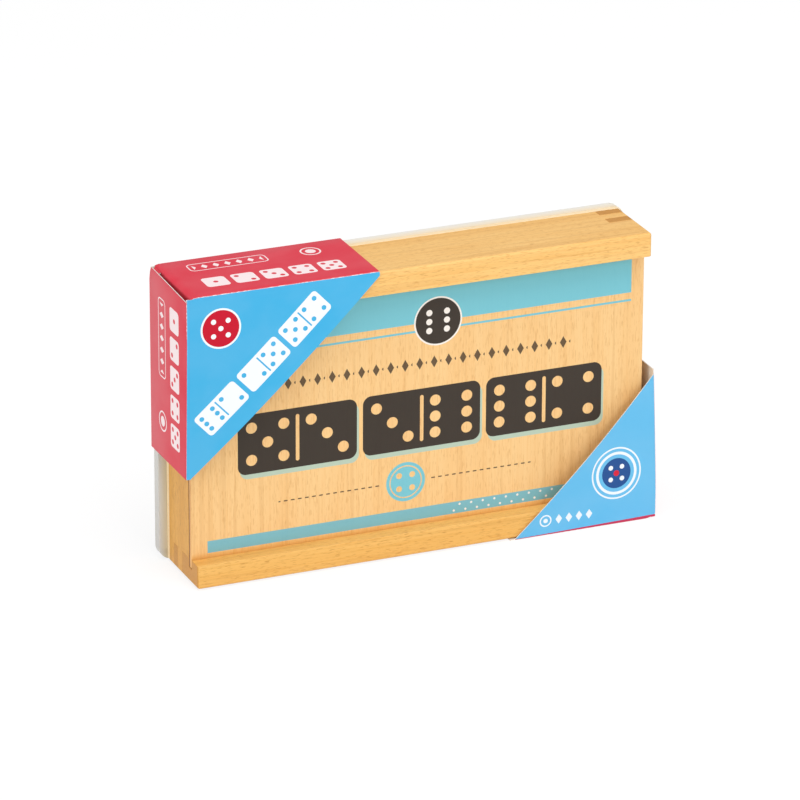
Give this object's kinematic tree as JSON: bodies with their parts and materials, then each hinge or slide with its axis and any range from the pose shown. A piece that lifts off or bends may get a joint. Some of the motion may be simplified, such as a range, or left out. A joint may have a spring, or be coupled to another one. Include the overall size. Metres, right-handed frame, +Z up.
{
  "type": "domino storage box",
  "caption": "Finger-jointed wooden domino box on its long edge, with a sliding front lid, two card corner sleeves, a thin rear tray and loose tiles inside.",
  "frame": {"origin": "under the middle of the whole object, on the surface that it stands on", "axes": "+X along the box towards the end where the lid draws out, -Y is the lid's side, +Z up"},
  "size_m": [0.208, 0.044, 0.1272],
  "materials": {
    "beech_rail": "satin varnish, grain along the rail",
    "beech_end": "satin varnish, grain upright",
    "pale_board": "plain thin board, pale edge",
    "printed_lid": "satin, printed in black and turquoise, upright grain",
    "milky_plastic": "thermoformed, translucent",
    "printed_card": "satin coated outside, grey-brown inside",
    "ivory_tile": "polished, black pips"
  },
  "bodies": {
    "box": {"bottom_rail": "beech_rail", "top_rail": "beech_rail", "left_end_board": "beech_end", "right_end_board": "beech_end", "back_panel": "pale_board", "rear_tray": "milky_plastic", "domino_0_0": "ivory_tile", "domino_1_0": "ivory_tile", "domino_1_1": "ivory_tile", "domino_2_0": "ivory_tile", "domino_2_1": "ivory_tile", "domino_2_2": "ivory_tile", "domino_3_0": "ivory_tile", "domino_3_1": "ivory_tile", "domino_3_2": "ivory_tile", "domino_3_3": "ivory_tile", "domino_4_0": "ivory_tile", "domino_4_1": "ivory_tile", "domino_4_2": "ivory_tile", "domino_4_3": "ivory_tile", "domino_4_4": "ivory_tile", "domino_5_0": "ivory_tile", "domino_5_1": "ivory_tile", "domino_5_2": "ivory_tile", "domino_5_3": "ivory_tile", "domino_5_4": "ivory_tile", "domino_5_5": "ivory_tile", "domino_6_0": "ivory_tile", "domino_6_1": "ivory_tile", "domino_6_2": "ivory_tile", "domino_6_3": "ivory_tile", "domino_6_4": "ivory_tile", "domino_6_5": "ivory_tile", "domino_6_6": "ivory_tile"},
    "lid": {"lid": "printed_lid"},
    "lower_sleeve": {"lower_corner_sleeve": "printed_card"},
    "upper_sleeve": {"upper_corner_sleeve": "printed_card"}
  },
  "joints": [
    {"name": "lid_slide", "type": "slide", "parent": "box", "child": "lid", "axis": [1, 0, 0], "range_m": [0, 0.189]},
    {"name": "lower_sleeve_slide", "type": "slide", "parent": "lid", "child": "lower_sleeve", "axis": [1, 0, 0], "range_m": [0, 0.066]},
    {"name": "upper_sleeve_slide", "type": "slide", "parent": "box", "child": "upper_sleeve", "axis": [-0.7071, 0, 0.7071], "range_m": [0, 0.06]}
  ]
}
